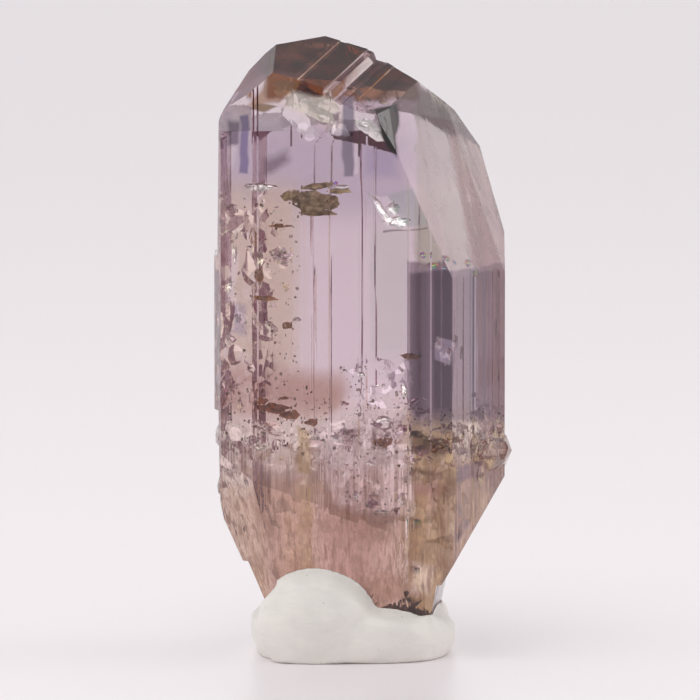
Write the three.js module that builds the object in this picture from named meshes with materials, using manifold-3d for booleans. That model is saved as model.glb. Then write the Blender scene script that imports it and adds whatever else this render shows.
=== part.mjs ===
// A rough tanzanite crystal standing in a pinch of white mounting putty.
// Millimetres. +Z is up, -Y is the broad front face, and the origin lies on the table under the crystal.
import * as THREE from "three";
import { mergeVertices } from "three/addons/utils/BufferGeometryUtils.js";
import Module from "manifold-3d";

const wasm = await Module();
wasm.setup();

// Driving dimensions of the crystal
const HALF_WIDTH = 6.03;
const FRONT = 3.7; // from the axis to the broad front face
const BACK = 3.6; // from the axis to the broad back face
const TIP_HEIGHT = 25.75; // of the highest point over the table
const WAIST_HEIGHT = 8.5; // of the healed break around the middle of the crystal
const FOOT_HEIGHT = 1.7; // of the broken foot, inside the putty
const SHELF_HEIGHT = 21.9; // of the growth step behind the crest

// Driving dimensions of the putty
const PUTTY_HALF_WIDTH = 4.26;
const PUTTY_HALF_DEPTH = 4.3;
const PUTTY_CENTRE = [-0.28, 0.2];
const PUTTY_BELLY_HEIGHT = 0.9; // height at which the putty is widest
const PUTTY_RIM_HEIGHT = 2.6; // of the low lobes around the crystal
const MOUND_CENTRE = [-1.78, -3.2, 1.6]; // of the mound thumbed up against the front left
const MOUND_RADII = [2.5, 1.05, 2.35];
const PUTTY_BOXINESS = 2.8; // 2 is a plain ellipse in plan, and more is squarer
const PUTTY_UNDERSIDE = 2.5; // how steeply the belly rounds under, cut off level by the table
const POCKET_GAP = 0.3; // between the crystal and the putty around it

// Growth ledges, or striations, that run along the prism faces
const LEDGE_SPACING = 0.42;
const LEDGE_DEPTH = 0.07;
const LEDGE_SLOPE = 0.07; // width of the sloping riser between two ledges

const CUTTER_SIZE = 40; // larger than the crystal in every direction

// A small repeatable source of random numbers from 0 to 1.
function seeded(seed) {
  let state = seed;
  return () => {
    state = (state * 1664525 + 1013904223) % 4294967296;
    return state / 4294967296;
  };
}

// Turns a closed three.js geometry into a solid that can be cut and joined.
function solidOf(geometry) {
  const bare = geometry.index ? geometry.toNonIndexed() : geometry.clone();
  bare.deleteAttribute("normal");
  bare.deleteAttribute("uv");
  const merged = mergeVertices(bare, 1e-4);
  return new wasm.Manifold(
    new wasm.Mesh({
      numProp: 3,
      vertProperties: merged.attributes.position.array,
      triVerts: new Uint32Array(merged.index.array),
    }),
  );
}

// Turns a finished solid back into a three.js geometry.
function geometryOf(solid) {
  const mesh = solid.getMesh();
  const positions = new Float32Array(mesh.numVert * 3);
  for (let i = 0; i < mesh.numVert; i += 1) {
    const start = i * mesh.numProp;
    positions.set(mesh.vertProperties.subarray(start, start + 3), i * 3);
  }
  const geometry = new THREE.BufferGeometry();
  geometry.setAttribute("position", new THREE.BufferAttribute(positions, 3));
  geometry.setIndex(new THREE.BufferAttribute(mesh.triVerts, 1));
  geometry.computeVertexNormals();
  return geometry;
}

// The outward direction of a face. Azimuth 0 faces the front and 90 the right. A lean of 0 is an upright face,
// 90 a level top, and a negative lean faces downwards.
function faceNormal(azimuth, lean) {
  const a = THREE.MathUtils.degToRad(azimuth);
  const l = THREE.MathUtils.degToRad(lean);
  return new THREE.Vector3(Math.sin(a) * Math.cos(l), -Math.cos(a) * Math.cos(l), Math.sin(l));
}

// A block that takes off everything beyond one crystal face. Its working side is flat, or has the stairs given
// as [distance across the face, height] points; grain is the direction along which the stairs run. A face that
// reaches only part of the way up takes off nothing outside the two heights in between.
function faceCutter({ azimuth, lean, through, grain = [0, 0, 1], stairs = [], between }) {
  const normal = faceNormal(azimuth, lean);
  const along = new THREE.Vector3(...grain).projectOnPlane(normal).normalize();
  const across = new THREE.Vector3().crossVectors(along, normal).normalize();
  const side = new THREE.Shape();
  side.moveTo(-CUTTER_SIZE, stairs.length ? stairs[0][1] : 0);
  stairs.forEach(([distance, height]) => side.lineTo(distance, height));
  side.lineTo(CUTTER_SIZE, stairs.length ? stairs[stairs.length - 1][1] : 0);
  side.lineTo(CUTTER_SIZE, CUTTER_SIZE);
  side.lineTo(-CUTTER_SIZE, CUTTER_SIZE);
  const block = new THREE.ExtrudeGeometry(side, { depth: 2 * CUTTER_SIZE, bevelEnabled: false });
  block.translate(0, 0, -CUTTER_SIZE);
  const frame = new THREE.Matrix4().makeBasis(across, normal, along.clone().negate());
  if (frame.determinant() < 0) frame.makeBasis(across.negate(), normal, along.clone().negate());
  block.applyMatrix4(frame);
  block.translate(...through);
  if (!between) return solidOf(block);
  const band = new THREE.BoxGeometry(CUTTER_SIZE, CUTTER_SIZE, between[1] - between[0]);
  band.translate(0, 0, (between[0] + between[1]) / 2);
  return solidOf(block).intersect(solidOf(band));
}

// An irregular lump with flat facets, like a chip of broken crystal.
function shard({ centre, size, turn = 0, seed, rough = 0.16, detail = 1 }) {
  const random = seeded(seed);
  const lump = new THREE.IcosahedronGeometry(1, detail);
  lump.deleteAttribute("normal");
  lump.deleteAttribute("uv");
  const merged = mergeVertices(lump, 1e-4);
  const place = merged.attributes.position;
  for (let i = 0; i < place.count; i += 1) {
    const swell = 1 + rough * (2 * random() - 1);
    place.setXYZ(i, place.getX(i) * swell, place.getY(i) * swell, place.getZ(i) * swell);
  }
  merged.scale(...size);
  merged.rotateZ(THREE.MathUtils.degToRad(turn));
  merged.translate(...centre);
  return solidOf(merged);
}

// Ledges on one side of the prism, as [distance along the side, depth] pairs.
function randomLedges(length, random) {
  const count = Math.floor(length / LEDGE_SPACING);
  const ledges = [];
  for (let k = 1; k < count; k += 1) {
    const distance = (length * (k + 0.7 * (random() - 0.5))) / count;
    const depth = k === count - 1 ? 0 : LEDGE_DEPTH * random() * (k % 2 ? 1 : 0.3);
    ledges.push([distance, depth]);
  }
  return ledges;
}

// The sides of the prism in plan, anticlockwise. Each starts at a corner; the broad faces have their own
// ledges, and the rest get random ones.
function prismSides() {
  return [
    {
      corner: [-4.45, -FRONT],
      ledges: [
        [0.07, 0.09],
        [0.24, 0],
        [1.62, 0.05],
        [2.05, 0.01],
        [3.16, 0.06],
        [4.4, 0.015],
        [4.72, 0.05],
        [6.42, 0],
        [7.36, 0.05],
        [7.8, 0],
      ],
    },
    { corner: [3.79, -FRONT] },
    { corner: [HALF_WIDTH, -0.29] },
    { corner: [HALF_WIDTH, 1.35] },
    { corner: [4.9, 2.6] },
    {
      corner: [1.96, BACK],
      ledges: [
        [1.3, 0.06],
        [1.9, 0],
        [3.2, 0.08],
        [3.9, 0.02],
        [4.9, 0],
      ],
    },
    { corner: [-3.9, BACK] },
    { corner: [-5.4, 2.3] },
    { corner: [-HALF_WIDTH, 0.8] },
    { corner: [-HALF_WIDTH, -1.9] },
    { corner: [-5.75, -2.95] },
  ];
}

// Plan outline of the prism with the ledges stepped into every side.
function striatedOutline() {
  const random = seeded(11);
  const sides = prismSides();
  const points = [];
  sides.forEach((side, i) => {
    const start = new THREE.Vector2(...side.corner);
    const end = new THREE.Vector2(...sides[(i + 1) % sides.length].corner);
    const along = new THREE.Vector2().subVectors(end, start).normalize();
    const inward = new THREE.Vector2(-along.y, along.x);
    const ledges = side.ledges ?? randomLedges(start.distanceTo(end), random);
    points.push(start);
    let previous = 0;
    ledges.forEach(([distance, depth]) => {
      const top = start.clone().addScaledVector(along, distance - LEDGE_SLOPE / 2);
      const bottom = start.clone().addScaledVector(along, distance + LEDGE_SLOPE / 2);
      points.push(top.addScaledVector(inward, previous), bottom.addScaledVector(inward, depth));
      previous = depth;
    });
  });
  return points;
}

// The upright prism, longer than the crystal, before its ends are cut.
function striatedPrism() {
  const outline = new THREE.Shape(striatedOutline());
  return solidOf(new THREE.ExtrudeGeometry(outline, { depth: TIP_HEIGHT + 2, bevelEnabled: false }));
}

// The same prism without ledges and wider all round by the given amount.
function plainPrism(grow) {
  const corners = prismSides().map(({ corner }) => new THREE.Vector2(...corner));
  corners.forEach((corner) => corner.setLength(corner.length() + 1.15 * grow));
  const outline = new THREE.Shape(corners);
  return solidOf(new THREE.ExtrudeGeometry(outline, { depth: TIP_HEIGHT + 2, bevelEnabled: false }));
}

// Faces that close the top. The roof steps down to the right along its own striations.
function topFaces() {
  const peak = [-3.583, -FRONT, TIP_HEIGHT - 1.27];
  return [
    {
      name: "roof",
      azimuth: 29.8,
      lean: 58.9,
      through: peak,
      grain: [1, 2.074, 0.787],
      stairs: [
        [0.98, 0],
        [1.02, -0.05],
        [1.22, -0.05],
        [1.26, -0.01],
        [2.12, -0.01],
        [2.16, -0.07],
        [2.38, -0.07],
        [2.56, -0.47],
        [2.95, -0.47],
        [3.0, -0.43],
        [3.3, -0.43],
        [3.34, -0.5],
        [3.9, -0.5],
        [3.94, -0.45],
      ],
    },
    { name: "left shoulder", azimuth: -90, lean: 0.7, through: [-5.89, 0, 17], between: [16.8, 30] },
    { name: "pale left face", azimuth: -63.9, lean: 44.3, through: peak },
    { name: "left end", azimuth: -100, lean: 27.5, through: [-5.75, -3.2, 22.71] },
    { name: "left back", azimuth: -120, lean: 36, through: [-3.583, -1.51, 25.46] },
    { name: "crest left", azimuth: -135, lean: 46, through: [-1.45, -0.05, TIP_HEIGHT] },
    { name: "crest back", azimuth: 165, lean: 40.6, through: [0.04, -0.05, 25.31] },
    { name: "crest right", azimuth: 104, lean: 55.4, through: [2.54, -0.34, 23.79] },
    {
      name: "upper back",
      azimuth: -168,
      lean: 10,
      through: [-1.45, -0.05, TIP_HEIGHT],
      between: [SHELF_HEIGHT, 30],
    },
    { name: "dark nick", azimuth: 46.7, lean: 23.2, through: [1.417, -FRONT, 21.27] },
    {
      name: "milky face",
      azimuth: 56.8,
      lean: 20.8,
      through: [3.79, -FRONT, 16.06],
      grain: [-0.3, 0.235, 1],
      stairs: [
        [-0.64, 0],
        [-0.6, -0.05],
        [-0.1, -0.02],
        [0.6, 0],
        [0.64, -0.05],
        [1.5, 0],
      ],
    },
    { name: "milky face side", azimuth: 69.4, lean: 21, through: [5.0, 0.05, 18.81] },
  ];
}

// Faces that narrow the lower end, and the breaks across the foot.
function footFaces() {
  return [
    { name: "left waist", azimuth: -90, lean: -1, through: [-5.84, 0, 9.5], between: [6, 10.4] },
    { name: "left taper", azimuth: -90, lean: -11, through: [-5.8, 0, 6.6] },
    { name: "lower left taper", azimuth: -92, lean: -24, through: [-5.2, 0, 4.95] },
    { name: "left toe", azimuth: -90, lean: -23, through: [-4.62, 0, 4.0], between: [-1, 4.05] },
    { name: "right taper", azimuth: 86, lean: -30.3, through: [6.05, 0, 7.4], between: [3.2, 12] },
    { name: "right toe", azimuth: 84, lean: -11, through: [3.5, 0, 3.2], between: [-1, 3.21] },
    { name: "front taper", azimuth: -4, lean: -12, through: [0, -FRONT, 6.1] },
    { name: "front left taper", azimuth: -42, lean: -17, through: [-4.45, -FRONT, 7.6] },
    { name: "back taper", azimuth: 174, lean: -10, through: [0, BACK, 7.4] },
    { name: "back right taper", azimuth: 158, lean: -16, through: [3.6, 3.05, 6.4] },
    { name: "back left taper", azimuth: -135, lean: -17, through: [-5.4, 2.3, 5.4] },
    { name: "break right", azimuth: 40, lean: -80, through: [1.9, -2, FOOT_HEIGHT] },
    { name: "break left", azimuth: -70, lean: -76, through: [-2.4, 0, FOOT_HEIGHT - 0.35] },
  ];
}

// Lumps of regrown crystal that stand out around the waist.
function lumps() {
  return [
    { centre: [5.1, 0.4, 8.4], size: [1.22, 2.1, 1.2], seed: 3, rough: 0.05 },
    { centre: [4.6, -1.7, 8.7], size: [0.7, 0.7, 0.9], turn: -34, seed: 5, rough: 0.08 },
    { centre: [-5.7, -0.6, 9.15], size: [0.34, 1.5, 0.42], seed: 8 },
    { centre: [-5.62, -1.0, 7.1], size: [0.3, 1.2, 0.6], seed: 9 },
    { centre: [0.3, 3.45, 8.7], size: [2.6, 0.42, 0.7], seed: 12 },
    { centre: [4.2, 2.5, 8.8], size: [1.1, 0.7, 0.8], turn: -38, seed: 14 },
    { centre: [-4.7, 2.7, 9.0], size: [0.9, 0.6, 0.6], turn: 42, seed: 15 },
  ];
}

// Pits, chips and broken hollows.
function pits() {
  return [
    { name: "right of the seam", centre: [3.35, -4.06, 6.6], size: [1.32, 0.62, 2.7], turn: 14, seed: 21 },
    { name: "broken left edge", centre: [-5.55, -3.75, 14.4], size: [0.85, 0.62, 2.5], turn: -32, seed: 22 },
    { name: "upper left break", centre: [-4.9, -4.1, 17.3], size: [0.9, 0.5, 1.1], seed: 23 },
    { name: "rough patch", centre: [0.85, -4.06, 10.6], size: [1.15, 0.46, 1.7], seed: 26 },
    { name: "low rough patch", centre: [0.55, -4.02, 7.2], size: [1.3, 0.4, 1.1], seed: 27 },
    { name: "seam pit", centre: [-0.7, -3.98, 9.1], size: [0.75, 0.36, 0.4], seed: 28 },
    { name: "left seam pit", centre: [-3.6, -4.0, 9.8], size: [0.85, 0.38, 0.5], seed: 29 },
    { name: "chip", centre: [3.45, -3.95, 12.7], size: [0.38, 0.36, 0.5], turn: 12, seed: 30 },
    { name: "notch", centre: [-5.75, -1.4, 3.6], size: [0.62, 2.2, 0.55], seed: 31 },
    { name: "heel", centre: [0.9, -3.7, 2.4], size: [1.0, 0.6, 0.55], seed: 32 },
  ];
}

// Small irregular lumps strewn at random heights along a line across a side of the prism.
function strewn({ from, to, low, high, count, size, outward, seed }) {
  const random = seeded(seed);
  const start = new THREE.Vector2(...from);
  const end = new THREE.Vector2(...to);
  const pieces = [];
  for (let i = 0; i < count; i += 1) {
    const radius = size * (0.65 + 0.7 * random());
    const place = start.clone().lerp(end, random());
    place.addScaledVector(new THREE.Vector2(...outward).normalize(), radius * 0.72);
    const height = low + (high - low) * random();
    const tall = radius * (0.7 + 0.9 * random());
    pieces.push({
      centre: [place.x, place.y, height],
      size: [radius, radius, tall],
      turn: 360 * random(),
      seed: seed + i + 1,
      rough: 0.22,
    });
  }
  return pieces;
}

// Chips out of the broken left edge, and out of the seam around the waist.
function chips() {
  return [
    ...strewn({
      from: [-4.3, -FRONT],
      to: [-5.75, -2.95],
      low: 10.5,
      high: 19,
      count: 12,
      size: 0.46,
      outward: [-0.5, -0.87],
      seed: 40,
    }),
    ...strewn({
      from: [-4.4, -FRONT],
      to: [3.6, -FRONT],
      low: WAIST_HEIGHT - 0.3,
      high: WAIST_HEIGHT + 1,
      count: 12,
      size: 0.42,
      outward: [0, -1],
      seed: 60,
    }),
    ...strewn({
      from: [3.9, -3.5],
      to: [5.9, -0.5],
      low: WAIST_HEIGHT - 1,
      high: WAIST_HEIGHT + 1,
      count: 8,
      size: 0.4,
      outward: [0.84, -0.55],
      seed: 80,
    }),
    ...strewn({
      from: [1.9, BACK],
      to: [-3.8, BACK],
      low: WAIST_HEIGHT - 0.6,
      high: WAIST_HEIGHT + 1.6,
      count: 10,
      size: 0.5,
      outward: [0, 1],
      seed: 100,
    }),
  ];
}

// The whole crystal.
function crystal() {
  let solid = striatedPrism();
  [...topFaces(), ...footFaces()].forEach((face) => {
    solid = solid.subtract(faceCutter(face));
  });
  lumps().forEach((lump) => {
    solid = solid.add(shard(lump));
  });
  [...pits(), ...chips()].forEach((pit) => {
    solid = solid.subtract(shard(pit));
  });
  return solid;
}

// The crystal's lower end without its ledges and pits, larger all round by the given gap.
function footPocket(gap) {
  let solid = plainPrism(gap);
  footFaces().forEach((face) => {
    const moved = new THREE.Vector3(...face.through).addScaledVector(faceNormal(face.azimuth, face.lean), gap);
    solid = solid.subtract(faceCutter({ ...face, through: moved.toArray() }));
  });
  return solid;
}

// How far the putty's plan swells beyond an ellipse towards its rounded corners.
function boxiness(angle) {
  const sum = Math.abs(Math.cos(angle)) ** PUTTY_BOXINESS + Math.abs(Math.sin(angle)) ** PUTTY_BOXINESS;
  return sum ** (-1 / PUTTY_BOXINESS);
}

// The putty: a low blob, thumbed up into a mound on the front left, with the crystal's socket pressed in.
function putty() {
  const blob = new THREE.SphereGeometry(1, 44, 26);
  blob.rotateX(Math.PI / 2);
  const place = blob.attributes.position;
  for (let i = 0; i < place.count; i += 1) {
    const swell = boxiness(Math.atan2(place.getY(i), place.getX(i)));
    const x = PUTTY_CENTRE[0] + PUTTY_HALF_WIDTH * swell * place.getX(i);
    const y = PUTTY_CENTRE[1] + PUTTY_HALF_DEPTH * swell * place.getY(i);
    const up = place.getZ(i);
    const rise = up > 0 ? Math.sqrt(up) * (PUTTY_RIM_HEIGHT - PUTTY_BELLY_HEIGHT) : PUTTY_UNDERSIDE * up;
    place.setXYZ(i, x, y, PUTTY_BELLY_HEIGHT + rise);
  }
  const table = new THREE.BoxGeometry(CUTTER_SIZE, CUTTER_SIZE, CUTTER_SIZE);
  table.translate(0, 0, -CUTTER_SIZE / 2);
  const mound = new THREE.SphereGeometry(1, 32, 20);
  mound.scale(...MOUND_RADII);
  mound.translate(...MOUND_CENTRE);
  return solidOf(blob).add(solidOf(mound)).subtract(solidOf(table)).subtract(footPocket(POCKET_GAP));
}

function named(name, solid, material) {
  const mesh = new THREE.Mesh(geometryOf(solid), material);
  mesh.name = name;
  return mesh;
}

const crystalMaterial = new THREE.MeshStandardMaterial({ color: 0xb9a3b4, roughness: 0.1, metalness: 0 });
const puttyMaterial = new THREE.MeshStandardMaterial({ color: 0xdedad5, roughness: 0.6, metalness: 0 });

const group = new THREE.Group();
group.add(named("tanzanite_crystal", crystal(), crystalMaterial));
group.add(named("mounting_putty", putty(), puttyMaterial));

export default group;
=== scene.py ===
"""A rough tanzanite crystal, clear violet with healed breaks, standing in a pinch of white mounting putty."""

import math

import bmesh
import bpy
import numpy as np
from mathutils import Matrix, Vector, noise
from mathutils.bvhtree import BVHTree


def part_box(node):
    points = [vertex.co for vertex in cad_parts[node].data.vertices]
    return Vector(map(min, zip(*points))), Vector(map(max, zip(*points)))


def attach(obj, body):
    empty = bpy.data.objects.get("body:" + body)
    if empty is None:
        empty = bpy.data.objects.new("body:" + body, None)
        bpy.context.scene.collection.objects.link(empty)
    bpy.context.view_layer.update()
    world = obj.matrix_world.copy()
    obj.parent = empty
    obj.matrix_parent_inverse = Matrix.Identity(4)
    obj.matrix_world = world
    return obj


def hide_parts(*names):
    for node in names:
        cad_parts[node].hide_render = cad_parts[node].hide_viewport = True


bl_info = {
    "name": "Tanzanite crystal in putty",
    "version": (1, 0, 0),
    "blender": (4, 5, 0),
    "location": "3D View > Sidebar > Crystal",
    "description": "Dresses the packed crystal and its putty, and sets up the studio around them",
    "category": "Object",
}

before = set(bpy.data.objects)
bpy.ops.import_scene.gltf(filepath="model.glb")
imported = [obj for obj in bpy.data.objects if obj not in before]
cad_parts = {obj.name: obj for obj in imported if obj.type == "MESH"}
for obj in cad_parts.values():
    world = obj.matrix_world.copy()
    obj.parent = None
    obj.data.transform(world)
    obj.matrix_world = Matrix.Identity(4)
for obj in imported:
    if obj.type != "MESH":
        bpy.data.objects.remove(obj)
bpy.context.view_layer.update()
CRYSTAL_NODE = "tanzanite_crystal"
PUTTY_NODE = "mounting_putty"
PUTTY_LOW, PUTTY_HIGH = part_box(PUTTY_NODE)
MM = 0.001
FULL_TURN = 2 * math.pi


# Settings that a user may change


class CrystalSettings(bpy.types.PropertyGroup):
    ior: bpy.props.FloatProperty(
        name="Refractive index",
        description="How strongly the crystal bends light",
        default=1.695,
        min=1,
        max=3,
    )
    polish: bpy.props.FloatProperty(
        name="Face roughness",
        description="Roughness of the bright growth faces",
        default=0.0,
        min=0,
        max=1,
    )
    body_colour: bpy.props.FloatVectorProperty(
        name="Body colour",
        description="Colour of the light that is left after a long way through the crystal",
        subtype="COLOR",
        size=3,
        min=0,
        max=1,
        default=(0.60, 0.27, 0.46),
    )
    body_depth: bpy.props.FloatProperty(
        name="Body colour density",
        description="Absorption over a metre of crystal",
        default=78,
        min=0,
        max=1000,
    )


class PuttySettings(bpy.types.PropertyGroup):
    colour: bpy.props.FloatVectorProperty(
        name="Putty colour",
        description="Off-white of the reusable putty",
        subtype="COLOR",
        size=3,
        min=0,
        max=1,
        default=(0.94, 0.92, 0.86),
    )
    grain: bpy.props.FloatProperty(
        name="Surface dents",
        description="Depth of the fingertip dents",
        default=0.05 * MM,
        subtype="DISTANCE",
    )


class StudioSettings(bpy.types.PropertyGroup):
    elevation: bpy.props.FloatProperty(
        name="Camera elevation",
        description="Angle of the camera over the table",
        default=math.radians(6),
        subtype="ANGLE",
    )
    distance: bpy.props.FloatProperty(
        name="Camera distance",
        description="From the camera to the crystal",
        default=0.3,
        subtype="DISTANCE",
    )
    frame_width: bpy.props.FloatProperty(
        name="Frame width",
        description="Width that the picture shows at the crystal",
        default=29.17 * MM,
        subtype="DISTANCE",
    )
    floor_colour: bpy.props.FloatVectorProperty(
        name="Floor colour",
        description="Pale table top",
        subtype="COLOR",
        size=3,
        min=0,
        max=1,
        default=(0.90, 0.865, 0.88),
    )


# Small tools for materials


def add_step(tree, kind, inputs, settings):
    """A new node in a tree, with its inputs linked or set and its own settings made."""
    step = tree.nodes.new(kind)
    for key, value in settings.items():
        setattr(step, key, value)
    for key, value in inputs.items():
        if isinstance(value, bpy.types.NodeSocket):
            tree.links.new(value, step.inputs[key])
        else:
            step.inputs[key].default_value = value
    return step


class Recipe:
    """A material's node tree, put together one step at a time. Positions are in millimetres."""

    def __init__(self, name):
        self.material = bpy.data.materials.new(name)
        self.material.use_nodes = True
        self.tree = self.material.node_tree
        self.tree.nodes.clear()
        place = self.put("TexCoord", {}, output="Object")
        self.place = self.put("Mapping", {"Vector": place, "Scale": (1 / MM, 1 / MM, 1 / MM)})

    def put(self, kind, inputs, output=0, **settings):
        """Adds a node and gives the output that is asked for."""
        return add_step(self.tree, "ShaderNode" + kind, inputs, settings).outputs[output]

    def maths(self, operation, a, b=0.0):
        return self.put("Math", {0: a, 1: b}, operation=operation)

    def times(self, a, b):
        return self.maths("MULTIPLY", a, b)

    def plus(self, a, b):
        return self.maths("ADD", a, b)

    def ramp(self, value, low, high, start=0.0, end=1.0):
        """Goes smoothly from the start to the end while the value goes from low to high."""
        inputs = {"Value": value, "From Min": low, "From Max": high, "To Min": start, "To Max": end}
        return self.put("MapRange", inputs, interpolation_type="SMOOTHSTEP")

    def stretched(self, size, shift=(0, 0, 0)):
        """The position, counted in pieces of the given size along each axis."""
        inputs = {"Vector": self.place, "Scale": tuple(1 / s for s in size), "Location": shift}
        return self.put("Mapping", inputs)

    def cloud(self, size, detail=2.0, roughness=0.5, output="Fac"):
        """A soft random pattern between 0 and 1, with lumps of about the given size in millimetres."""
        inputs = {"Vector": self.stretched(size), "Scale": 1.0, "Detail": detail, "Roughness": roughness}
        return self.put("TexNoise", inputs, output=output)

    def specks(self, size):
        """How far each place is from the nearest of many scattered points."""
        inputs = {"Vector": self.stretched(size), "Scale": 1.0, "Randomness": 1.0}
        return self.put("TexVoronoi", inputs, output="Distance")

    def facets(self, size, shift=(0, 0, 0)):
        """Height, in millimetres, of small flat chips that each lean their own way."""
        place = self.stretched(size, shift)
        chips = add_step(self.tree, "ShaderNodeTexVoronoi", {"Vector": place, "Scale": 1.0}, {}).outputs
        lean = self.put("VectorMath", {0: chips["Color"], 1: (0.5, 0.5, 0.5)}, operation="SUBTRACT")
        reach = self.put("VectorMath", {0: place, 1: chips["Position"]}, operation="SUBTRACT")
        return self.put("VectorMath", {0: lean, 1: reach}, output="Value", operation="DOT_PRODUCT")

    def mix(self, amount, a, b):
        """The first colour where the amount is 0 and the second where it is 1."""
        return self.put("Mix", {"Factor": amount, 6: a, 7: b}, output=2, data_type="RGBA")

    def wobbly_axes(self, reach, size=None):
        """The position and its x, y and z, pushed about by a cloud: the last one made, if no size is given."""
        if size is not None:
            haze = self.cloud(size, detail=1, output="Color")
            self.drift = self.put("VectorMath", {0: haze, 1: (0.5, 0.5, 0.5)}, operation="SUBTRACT")
        push = self.put("VectorMath", {0: self.drift, "Scale": 2 * reach}, operation="SCALE")
        moved = self.put("VectorMath", {0: self.place, 1: push}, operation="ADD")
        split = add_step(self.tree, "ShaderNodeSeparateXYZ", {0: moved}, {})
        return {"place": moved, **dict(zip("xyz", split.outputs))}

    def zone(self, axes, patch):
        """1 inside the limits that a patch has for x, y or z, falling to 0 over its soft distance."""
        half = patch["soft"] / 2
        edges = []
        for axis in "xyz":
            low, high = patch.get(axis, (None, None))
            if low is not None:
                edges.append(self.ramp(axes[axis], low - half, low + half))
            if high is not None:
                edges.append(self.ramp(axes[axis], high - half, high + half, 1.0, 0.0))
        amount = edges[0]
        for edge in edges[1:]:
            amount = self.times(amount, edge)
        return amount

    def shape(self, axes, corners, soft):
        """1 inside the convex outline with these (x, z) corners, run anticlockwise, softening at its edge."""
        amount = None
        for (x, z), (next_x, next_z) in zip(corners, corners[1:] + corners[:1]):
            length = math.hypot(next_x - x, next_z - z)
            inward = ((z - next_z) / length, 0, (next_x - x) / length)
            factors = {0: axes["place"], 1: inward}
            away = self.put("VectorMath", factors, output="Value", operation="DOT_PRODUCT")
            start = inward[0] * x + inward[2] * z
            span = {"Value": away, "From Min": start - soft / 2, "From Max": start + soft / 2}
            edge = self.put("MapRange", span)
            amount = edge if amount is None else self.maths("MINIMUM", amount, edge)
        return amount

    def bump(self, height, distance, before=None, strength=1.0):
        """The face direction, tilted by a height that counts for so many millimetres."""
        inputs = {"Height": height, "Distance": distance * MM, "Strength": strength}
        if before is not None:
            inputs["Normal"] = before
        return self.put("Bump", inputs)

    def finish(self, surface, volume=None):
        """Joins the shader, and the volume if there is one, to the material's output."""
        inputs = {"Surface": surface} if volume is None else {"Surface": surface, "Volume": volume}
        add_step(self.tree, "ShaderNodeOutputMaterial", inputs, {})
        return self.material


# Stains of colour between two places along x and along z, in millimetres; None is no limit on that side
STAINS = [
    # the violet head
    {"colour": (0.70, 0.68, 0.74), "x": (-6.1, 2.4), "z": (18.4, 22.2), "soft": 1.8},
    # right of the clear window
    {"colour": (0.82, 0.84, 0.80), "x": (0.4, 1.95), "z": (12.5, 18.0), "soft": 0.3},
    # the milky face
    {"colour": (0.60, 0.62, 0.50), "x": (2.3, None), "z": (16.3, 23.5), "soft": 0.3},
    # the cream left side
    {"colour": (0.80, 0.73, 0.57), "x": (None, -2.6), "z": (11.5, 19.6), "soft": 1.6},
    # the waist: pale, red brown at its left, golden at its right
    {"colour": (0.98, 0.95, 0.80), "x": (None, 2.0), "z": (7.8, 10.4), "soft": 1.4},
    {"colour": (0.58, 0.40, 0.31), "x": (None, -0.6), "z": (10.2, 11.6), "soft": 0.9},
    {"colour": (0.66, 0.54, 0.28), "x": (1.9, None), "z": (7.8, 9.9), "soft": 0.9},
]

# Heights in millimetres, and the place along x, between which one zone of colour gives way to the next
FOOT_END = (1.4, 2.0)
FOOT_TOP = (7.4, 9.2)
MOTTLE_TOP = (7.0, 11.5)
PRISM_EDGE = (1.9, 2.1)
PRISM_FOOT = (9.2, 10.2)
PRISM_TOP = (16.2, 16.4)
MILKY_EDGE = (2.2, 2.4)
MILKY_FOOT = (16.1, 16.3)
SMOOTH_FOOT_TOP = (7.4, 10.0)
FRONT_END = (-0.8, 0.0)  # along y, where the patches on the front fade out

CLEAR_TINT = (0.92, 0.90, 0.89)
MOTTLE_COLOUR = (0.20, 0.10, 0.055)

# Bands of violet and grey across the right prism, by x in millimetres
PRISM_BANDS = [
    (1.95, (0.30, 0.25, 0.28)),
    (2.3, (0.14, 0.105, 0.14)),
    (2.44, (0.06, 0.045, 0.06)),
    (2.55, (0.14, 0.105, 0.14)),
    (2.96, (0.22, 0.18, 0.22)),
    (3.1, (0.10, 0.075, 0.105)),
    (3.75, (0.10, 0.08, 0.11)),
    (3.85, (0.22, 0.18, 0.20)),
    (4.5, (0.18, 0.15, 0.17)),
    (4.56, (0.08, 0.065, 0.08)),
    (4.64, (0.22, 0.20, 0.24)),
    (5.4, (0.22, 0.20, 0.24)),
    (5.6, (0.20, 0.15, 0.155)),
    (6.2, (0.24, 0.19, 0.18)),
]

# Bands of brown across the foot, with one near-white band at x 1.93 that is a painted highlight, by x in
# millimetres
FOOT_BANDS = [
    (-5.8, (0.77, 0.77, 0.60)),
    (-4.6, (0.74, 0.70, 0.53)),
    (-4.1, (0.53, 0.42, 0.31)),
    (-3.3, (0.65, 0.49, 0.37)),
    (-2.7, (0.63, 0.44, 0.32)),
    (-2.3, (0.65, 0.50, 0.29)),
    (-2.05, (0.49, 0.35, 0.17)),
    (-1.95, (0.72, 0.56, 0.44)),
    (-0.9, (0.63, 0.43, 0.34)),
    (0.3, (0.51, 0.34, 0.26)),
    (1.0, (0.65, 0.49, 0.39)),
    (1.8, (0.58, 0.44, 0.34)),
    # painted highlight: the near-white band on the edge near x 2 mm that catches the light
    (1.93, (1.00, 1.00, 0.93)),
    (2.03, (0.26, 0.16, 0.07)),
    (2.5, (0.49, 0.35, 0.17)),
    (3.3, (0.60, 0.49, 0.28)),
    (3.45, (0.39, 0.30, 0.17)),
    (4.2, (0.65, 0.56, 0.37)),
    (5.8, (0.72, 0.65, 0.49)),
]

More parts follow.
